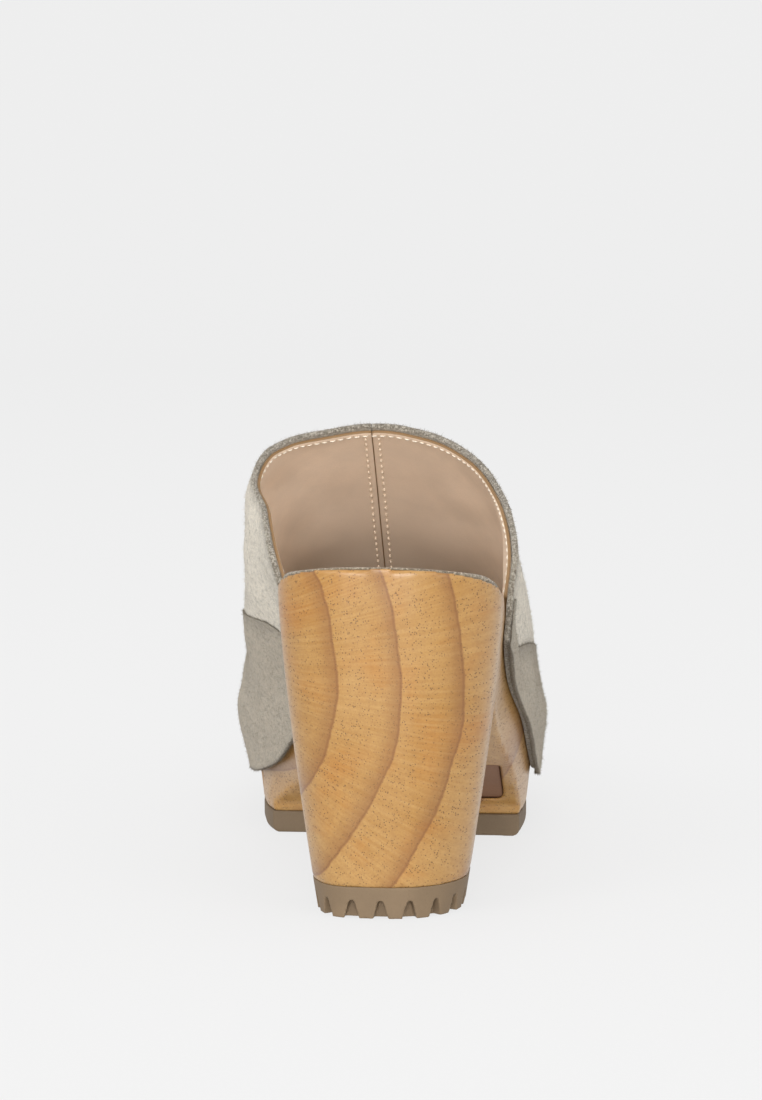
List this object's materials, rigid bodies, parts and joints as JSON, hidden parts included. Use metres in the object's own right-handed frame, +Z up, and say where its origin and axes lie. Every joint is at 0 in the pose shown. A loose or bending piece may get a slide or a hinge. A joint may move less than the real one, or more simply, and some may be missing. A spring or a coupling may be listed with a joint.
{
  "type": "wooden clog",
  "caption": "High-heeled wooden clog for the right foot: carved wooden sole that bends at the ball, notched rubber heel tread, closed-toe suede mule upper with a stitched lining.",
  "frame": {"origin": "centre of the bounding box at the floor", "axes": "+Z up, +Y from the heel to the toe, +X towards the outer side of the foot"},
  "size_m": [0.102, 0.2404, 0.127],
  "materials": {
    "wood": "oiled, satin",
    "rubber": "matte brown",
    "leaf": "flat brown",
    "vamp_suede": "light grey suede",
    "panel_suede": "taupe suede",
    "lining_leather": "smooth, matte",
    "insole_suede": "light suede",
    "steel": "plain"
  },
  "bodies": {
    "rear_sole": {"ball_tread": "rubber", "flex_leaf": "leaf", "heel_tread": "rubber", "insole_cover": "insole_suede", "lining_lateral": "lining_leather", "lining_medial": "lining_leather", "overlay_lateral": "panel_suede", "overlay_medial": "panel_suede", "tack_lateral_1": "steel", "tack_lateral_2": "steel", "tack_lateral_3": "steel", "tack_medial_1": "steel", "tack_medial_2": "steel", "tack_medial_3": "steel", "vamp_lateral": "vamp_suede", "vamp_medial": "vamp_suede", "wood_rear": "wood"},
    "fore_sole": {"wood_front": "wood", "front_tread": "rubber", "tack_medial_4": "steel", "tack_medial_5": "steel", "tack_lateral_4": "steel", "tack_lateral_5": "steel"}
  },
  "joints": [
    {"name": "ball_flex", "type": "hinge", "parent": "rear_sole", "child": "fore_sole", "pos_m": [0, 0.03086, 0.01205], "axis": [1, 0, 0], "range_deg": [0, 15], "stiffness_Nm_per_rad": 1.2, "deforming": ["flex_leaf", "insole_cover", "vamp_medial", "vamp_lateral", "lining_medial", "lining_lateral", "overlay_medial", "overlay_lateral"]}
  ]
}
